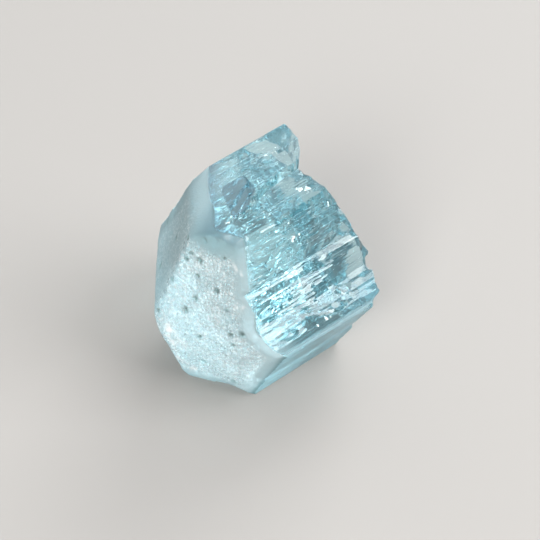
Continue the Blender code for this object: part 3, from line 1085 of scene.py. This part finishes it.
class Graph:
    """A few helpers for the nodes of a material or of the world."""

    def __init__(self, owner):
        owner.use_nodes = True
        self.nodes = owner.node_tree.nodes
        self.links = owner.node_tree.links

    def add(self, kind, **settings):
        """A node with its properties, and the values or sources of its sockets."""
        node = self.nodes.new(kind)
        for name, value in settings.items():
            if hasattr(node, name):
                setattr(node, name, value)
            elif isinstance(value, bpy.types.NodeSocket):
                self.links.new(value, node.inputs[name])
            elif isinstance(value, tuple):
                node.inputs[name].default_value = (*value, 1.0)
            else:
                node.inputs[name].default_value = value
        return node

    def mapped(self, source, low, high, start=0.0, end=1.0, curve="LINEAR"):
        """The source's stretch from start to end, mapped to low..high."""
        limits = {"From Min": start, "From Max": end, "To Min": low, "To Max": high}
        node = self.add("ShaderNodeMapRange", interpolation_type=curve, Value=source, **limits)
        return node.outputs["Result"]

    def math(self, operation, first, second):
        """A product, a maximum or the like of two sockets."""
        node = self.add("ShaderNodeMath", operation=operation)
        self.links.new(first, node.inputs[0])
        self.links.new(second, node.inputs[1])
        return node.outputs["Value"]

    def mix(self, factor, first, second, kind="RGBA"):
        """A mix of two colours or numbers, each a socket, a triple or a plain number."""
        node = self.add("ShaderNodeMix", data_type=kind, Factor=factor, A=first, B=second)
        return node.outputs["Result"]

    def attribute(self, name):
        """A mask of the mesh."""
        return self.add("ShaderNodeAttribute", attribute_name=name).outputs["Fac"]


def stone_material():
    """Clear pale blue-green stone, frosted where the mask says so, with painted glints and shade.
    """
    material = bpy.data.materials.new("aquamarine")
    graph = Graph(material)
    links = graph.links
    shader = graph.nodes["Principled BSDF"]
    shader.inputs["IOR"].default_value = STONE_IOR
    names = ("frost", "pit_shade", "sugar", "chalk", "painted_lightness", "painted_shade")
    frost, pit_shade, sugar, chalk, painted_lightness, painted_shade = (graph.attribute(name) for name in names)
    place = graph.add("ShaderNodeTexCoord").outputs["Object"]

    # Painted glints: white specks in the frosting's colour; the same cells also set roughness and
    # bump.
    cells = graph.add("ShaderNodeTexVoronoi", Scale=SPECK_SCALE, Vector=place)
    cell_values = graph.add("ShaderNodeSeparateColor", Color=cells.outputs["Color"])
    chosen = graph.mapped(cell_values.outputs["Red"], 0.0, 1.0, *SPECK_CHOICE)
    inside = graph.mapped(cells.outputs["Distance"], 1.0, 0.0, *SPECK_SIZE)
    glint_cell = graph.math("MULTIPLY", chosen, inside)
    clouds = graph.add("ShaderNodeTexNoise", Scale=CLOUD_SCALE, Detail=CLOUD_DETAIL, Vector=place)
    cloud = graph.mapped(clouds.outputs["Fac"], 0.0, 1.0, *CLOUD_SPAN)
    painted_glint = graph.math("MULTIPLY", glint_cell, graph.mapped(cloud, *GLINT_IN_CLOUD))
    coarse = graph.mapped(sugar, 0.0, 1.0, *GLINT_IN_SUGAR)
    painted_glint = graph.math("MULTIPLY", painted_glint, coarse)

    frosting = graph.mix(cloud, FROST_DARK, FROST_PALE)
    worn = graph.mix(sugar, WORN_COLOUR, frosting)
    # Painted shade of the frosting: by face, on the top behind the end, and on the satin side.
    shade_painted_frost = graph.mix(painted_lightness, PAINTED_SHADE_FROST, worn)
    # Painted glints on the frosting.
    with_painted_glints = graph.mix(painted_glint, shade_painted_frost, PAINTED_GLINT_COLOUR)
    # Painted shade in the etch pits.
    pit_shaded = graph.mix(pit_shade, with_painted_glints, PIT_SHADE_COLOUR)
    # Painted shade of the dark window and of the greyer zone on the top, in the clear stone's
    # colour.
    glassy = graph.mix(painted_shade, CLEAR_COLOUR, PAINTED_WINDOW_SHADE)
    frosted = graph.mix(frost, glassy, pit_shaded)
    colour = graph.mix(chalk, frosted, CHALK_COLOUR)
    links.new(colour, shader.inputs["Base Color"])

    speck_roughness = graph.mapped(cell_values.outputs["Green"], *SPECK_ROUGHNESS)
    matt = graph.mix(sugar, WORN_ROUGHNESS, speck_roughness, "FLOAT")
    covered = graph.math("MAXIMUM", frost, chalk)
    roughness = graph.mix(covered, CLEAR_ROUGHNESS, matt, "FLOAT")
    links.new(roughness, shader.inputs["Roughness"])
    clear = graph.math("MULTIPLY", graph.mapped(frost, 1.0, FROST_CLEARNESS),
                       graph.mapped(chalk, 1.0, CHALK_CLEARNESS))
    links.new(clear, shader.inputs["Transmission Weight"])

    bump = graph.add("ShaderNodeBump", Distance=SPECK_BUMP, Height=cells.outputs["Distance"],
                     Strength=graph.math("MULTIPLY", frost, sugar))
    links.new(bump.outputs["Normal"], shader.inputs["Normal"])

    absorption = graph.add("ShaderNodeVolumeAbsorption", Density=ABSORPTION_DENSITY,
                           Color=ABSORPTION_COLOUR)
    links.new(absorption.outputs["Volume"], graph.nodes["Material Output"].inputs["Volume"])
    return material


# ---- floor, light and camera

# The floor: radius in metres, how far it lies below the crystal, colour and roughness.
FLOOR_RADIUS = 4.0
FLOOR_DROP = 0.00002
FLOOR_COLOUR = (0.32, 0.307, 0.292)
FLOOR_ROUGHNESS = 0.8

# Softboxes: name, direction towards them, distance, size, power and colour.  They look at
# a point at this height.
LIGHT_HEIGHT = 0.009
SOFTBOXES = [
    ("key", (-0.72, -0.40, 0.57), 0.6, (0.24, 0.24), 3.5, (1.0, 0.98, 0.95)),
    ("near", (0.516, -0.821, 0.245), 0.6, (0.13, 0.08), 0.34, (1.0, 1.0, 1.0)),
    ("back", (0.88, 0.40, 0.40), 0.7, (0.4, 0.4), 4.8, (1.0, 1.0, 1.0)),
    ("fill", (0.55, -0.75, 0.75), 0.8, (0.6, 0.6), 7.0, (0.97, 0.98, 1.0)),
]

# The room: where it glows, how well a direction has to match that, its strength elsewhere
# and there, its share at the horizon, the height from which it is full, and its colour.
BACKDROP = (0.80, 0.55, 0.25)
GLOW_SPAN = (0.1, 0.75)
ROOM_DIM = 0.34
ROOM_BRIGHT = 1.35
HORIZON = 0.25
HORIZON_HEIGHT = 0.45
ROOM_COLOUR = (0.94, 0.97, 1.0)
VIEW = "Standard"
EXPOSURE = 0.0

# Camera: its direction in degrees, its distance in metres, what it looks at in the
# crystal's own frame, and its lens and sensor in millimetres.
CAMERA_AZIMUTH = -42.75
CAMERA_ELEVATION = 40.52
CAMERA_DISTANCE = 0.300
CAMERA_TARGET = Vector((6.83, 4.81, 9.56))
CAMERA_LENS = 200.0
CAMERA_SENSOR = 36.0
CAMERA_CLIP = (0.01, 20.0)


def build_floor():
    """A wide pale floor."""
    bpy.ops.mesh.primitive_circle_add(vertices=96, radius=FLOOR_RADIUS, fill_type="NGON")
    floor = bpy.context.object
    floor.name = "floor"
    floor.location.z = -FLOOR_DROP
    material = bpy.data.materials.new("pale_floor")
    shader = Graph(material).nodes["Principled BSDF"]
    shader.inputs["Base Color"].default_value = (*FLOOR_COLOUR, 1.0)
    shader.inputs["Roughness"].default_value = FLOOR_ROUGHNESS
    floor.data.materials.append(material)


def build_light():
    """Soft studio light: a key from the left, two accents, a broad fill and the room."""
    for name, direction, distance, size, watts, colour in SOFTBOXES:
        data = bpy.data.lights.new(name, "AREA")
        data.shape = "RECTANGLE"
        data.size, data.size_y = size
        data.energy = watts
        data.color = colour
        light = bpy.data.objects.new(name, data)
        toward = Vector(direction).normalized()
        light.location = Vector((0, 0, LIGHT_HEIGHT)) + toward * distance
        light.rotation_euler = toward.to_track_quat("Z", "Y").to_euler()
        bpy.context.scene.collection.objects.link(light)
    world = bpy.data.worlds.new("room")
    graph = Graph(world)
    direction = graph.add("ShaderNodeTexCoord").outputs["Generated"]
    match = graph.add("ShaderNodeVectorMath", operation="DOT_PRODUCT")
    match.inputs[1].default_value = Vector(BACKDROP).normalized()
    graph.links.new(direction, match.inputs[0])
    glow = graph.mapped(match.outputs["Value"], ROOM_DIM, ROOM_BRIGHT, *GLOW_SPAN, "SMOOTHSTEP")
    height = graph.add("ShaderNodeSeparateXYZ", Vector=direction)
    rise = graph.mapped(height.outputs["Z"], HORIZON, 1.0, 0.0, HORIZON_HEIGHT, "SMOOTHSTEP")
    background = graph.nodes["Background"]
    background.inputs["Color"].default_value = (*ROOM_COLOUR, 1.0)
    graph.links.new(graph.math("MULTIPLY", glow, rise), background.inputs["Strength"])
    bpy.context.scene.world = world
    bpy.context.scene.view_settings.view_transform = VIEW
    bpy.context.scene.view_settings.exposure = EXPOSURE


def build_camera():
    """The camera at the viewing angle, aimed a little off the crystal's middle."""
    azimuth, elevation = math.radians(CAMERA_AZIMUTH), math.radians(CAMERA_ELEVATION)
    back = Vector((math.sin(azimuth) * math.cos(elevation),
                   -math.cos(azimuth) * math.cos(elevation), math.sin(elevation)))
    data = bpy.data.cameras.new("camera")
    data.sensor_width = CAMERA_SENSOR
    data.lens = CAMERA_LENS
    data.clip_start, data.clip_end = CAMERA_CLIP
    camera = bpy.data.objects.new("camera", data)
    camera.location = (CAMERA_TARGET + SHIFT) * MM + back * CAMERA_DISTANCE
    camera.rotation_mode = "QUATERNION"
    camera.rotation_quaternion = (-back).to_track_quat("-Z", "Y")
    bpy.context.scene.collection.objects.link(camera)
    bpy.context.scene.camera = camera


crystal, section_outline = build_crystal()
finish_mesh(crystal, section_outline)
crystal.data.materials.clear()
crystal.data.materials.append(stone_material())
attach(crystal, "root")
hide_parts(NODE)
build_floor()
build_light()
build_camera()

# Light crosses many faces of the clear stone.
bpy.context.scene.cycles.max_bounces = 24
bpy.context.scene.cycles.transmission_bounces = 24
bpy.context.scene.cycles.glossy_bounces = 12
